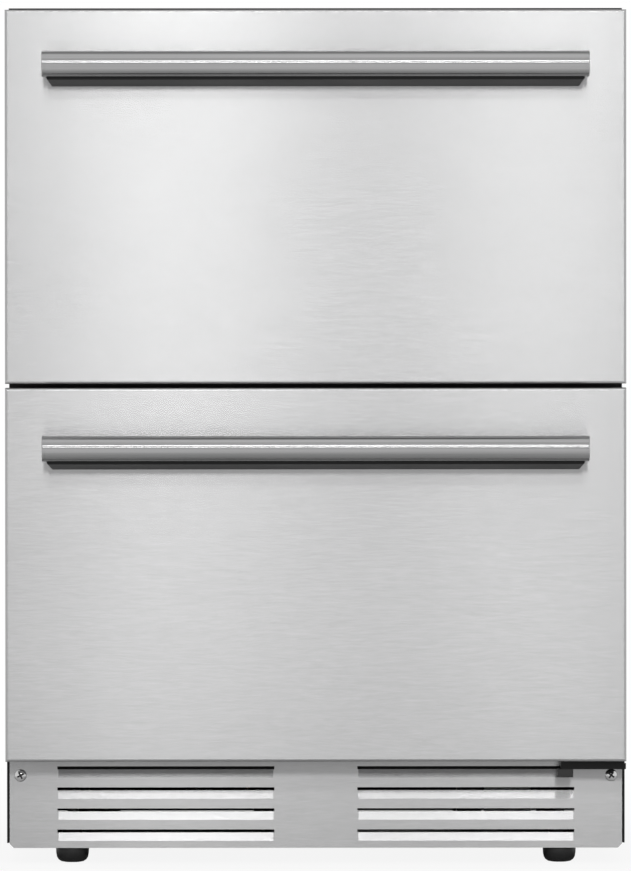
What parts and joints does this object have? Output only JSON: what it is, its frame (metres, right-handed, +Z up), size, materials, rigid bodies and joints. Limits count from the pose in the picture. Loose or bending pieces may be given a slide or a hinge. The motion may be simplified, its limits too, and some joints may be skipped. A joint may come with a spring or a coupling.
{
  "type": "undercounter drawer refrigerator",
  "caption": "Undercounter refrigerator with two pull-out drawers, stainless fronts, round bar handles and a louvred kick plate.",
  "frame": {"origin": "on the floor under the middle of the overall box", "axes": "+Z up, the drawer fronts face -Y, +X to the right seen from the front"},
  "size_m": [0.595, 0.6298, 0.823],
  "materials": {
    "stainless": "fine horizontal brush",
    "polished_bar": "fine brush along the bar",
    "black_paint": "satin powder coat",
    "galvanised": "zinc-coated sheet",
    "zinc": "bright zinc",
    "screw_chrome": "bright plated",
    "liner_white": "smooth moulding",
    "bin_grey": "smooth moulding",
    "foam": "cut foam",
    "seal_grey": "soft magnetic seal",
    "black_plastic": "fine grain",
    "rubber": "matt",
    "black_enamel": "gloss enamel",
    "fin_aluminium": "mill finish",
    "copper": "drawn copper",
    "motor_steel": "grey paint",
    "fan_plastic": "fine grain",
    "lamp_white": "milky diffuser",
    "panel_gloss": "black glass look"
  },
  "bodies": {
    "cabinet": {"left_side_panel": "black_paint", "right_side_panel": "black_paint", "top_panel": "black_paint", "back_panel": "galvanised", "stepped_floor_panel": "black_paint", "inner_liner": "liner_white", "insulation_foam": "foam", "front_mullion": "black_paint", "base_frame": "black_paint", "kick_plate": "stainless", "kick_plate_screws": "screw_chrome", "corner_bracket": "black_paint", "bracket_stop": "black_plastic", "cabinet_screws": "black_paint", "machine_rear_cover": "black_paint", "cord_inlet": "black_plastic", "compressor": "black_enamel", "compressor_grommets": "rubber", "terminal_box": "black_plastic", "drip_tray": "black_plastic", "condenser_coil": "fin_aluminium", "condenser_fan_shroud": "black_plastic", "condenser_fan_motor": "motor_steel", "refrigerant_tubes": "copper", "filter_drier": "copper", "evaporator_cover": "liner_white", "evaporator_coil": "fin_aluminium", "evaporator_fan_motor": "motor_steel", "led_lamp": "lamp_white", "control_panel": "panel_gloss", "upper_cabinet_slides": "zinc", "lower_cabinet_slides": "zinc"},
    "upper_drawer": {"upper_front_skin": "stainless", "upper_front_core": "foam", "upper_front_inner_panel": "liner_white", "upper_gasket": "seal_grey", "upper_handle_bar": "polished_bar", "upper_handle_web": "black_paint", "upper_handle_screws": "screw_chrome", "upper_bin_frame": "zinc", "upper_bin": "bin_grey", "upper_drawer_slides": "zinc"},
    "upper_middle_members": {"upper_middle_slides": "zinc"},
    "lower_drawer": {"lower_front_skin": "stainless", "lower_front_core": "foam", "lower_front_inner_panel": "liner_white", "lower_gasket": "seal_grey", "lower_handle_bar": "polished_bar", "lower_handle_web": "black_paint", "lower_handle_screws": "screw_chrome", "lower_bin_frame": "zinc", "lower_bin": "bin_grey", "lower_drawer_slides": "zinc"},
    "lower_middle_members": {"lower_middle_slides": "zinc"},
    "front_left_foot": {"front_left_foot": "black_plastic"},
    "front_right_foot": {"front_right_foot": "black_plastic"},
    "rear_left_foot": {"rear_left_foot": "black_plastic"},
    "rear_right_foot": {"rear_right_foot": "black_plastic"},
    "condenser_fan": {"condenser_fan": "fan_plastic"},
    "evaporator_fan": {"evaporator_fan": "fan_plastic"}
  },
  "joints": [
    {"name": "upper_drawer_slide", "type": "slide", "parent": "cabinet", "child": "upper_drawer", "axis": [0, -1, 0], "range_m": [0, 0.4]},
    {"name": "upper_middle_slide", "type": "slide", "parent": "cabinet", "child": "upper_middle_members", "axis": [0, -1, 0], "range_m": [0, 0.2]},
    {"name": "lower_drawer_slide", "type": "slide", "parent": "cabinet", "child": "lower_drawer", "axis": [0, -1, 0], "range_m": [0, 0.4]},
    {"name": "lower_middle_slide", "type": "slide", "parent": "cabinet", "child": "lower_middle_members", "axis": [0, -1, 0], "range_m": [0, 0.2]},
    {"name": "front_left_foot_screw", "type": "slide", "parent": "cabinet", "child": "front_left_foot", "axis": [0, 0, -1], "range_m": [0, 0.02]},
    {"name": "front_right_foot_screw", "type": "slide", "parent": "cabinet", "child": "front_right_foot", "axis": [0, 0, -1], "range_m": [0, 0.02]},
    {"name": "rear_left_foot_screw", "type": "slide", "parent": "cabinet", "child": "rear_left_foot", "axis": [0, 0, -1], "range_m": [0, 0.02]},
    {"name": "rear_right_foot_screw", "type": "slide", "parent": "cabinet", "child": "rear_right_foot", "axis": [0, 0, -1], "range_m": [0, 0.02]},
    {"name": "condenser_fan_spin", "type": "hinge", "parent": "cabinet", "child": "condenser_fan", "pos_m": [0.144, 0.21755, 0.1013], "axis": [1, 0, 0], "continuous": true},
    {"name": "evaporator_fan_spin", "type": "hinge", "parent": "cabinet", "child": "evaporator_fan", "pos_m": [0, 0.24855, 0.654], "axis": [0, -1, 0], "continuous": true}
  ],
  "couplings": [
    {"joint": "upper_middle_slide", "follows": "upper_drawer_slide", "ratio": 0.5},
    {"joint": "lower_middle_slide", "follows": "lower_drawer_slide", "ratio": 0.5}
  ]
}
